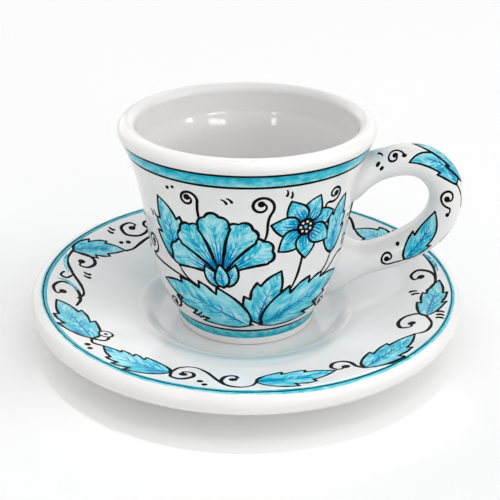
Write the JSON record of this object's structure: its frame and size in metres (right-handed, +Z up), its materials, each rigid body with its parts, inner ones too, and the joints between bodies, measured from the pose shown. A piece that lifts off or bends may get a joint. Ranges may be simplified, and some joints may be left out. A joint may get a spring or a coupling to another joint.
{
  "type": "espresso cup with saucer",
  "caption": "Flared espresso cup with a loop handle, standing in the well of a round saucer with a rolled rim, in white glazed earthenware painted with turquoise leaves.",
  "frame": {"origin": "centre of the saucer's foot ring, on the table", "axes": "+Z up along the cup's and the saucer's common axis, +X towards the handle"},
  "size_m": [0.12, 0.12, 0.0628],
  "materials": {
    "saucer_glaze": "gloss",
    "bowl_glaze": "gloss",
    "handle_glaze": "gloss"
  },
  "bodies": {
    "saucer": {"saucer": "saucer_glaze"},
    "cup": {"cup_bowl": "bowl_glaze", "cup_handle": "handle_glaze"}
  },
  "joints": [
    {"name": "cup_lift", "type": "slide", "parent": "saucer", "child": "cup", "axis": [0, 0, 1], "range_m": [0, 0.06]}
  ]
}
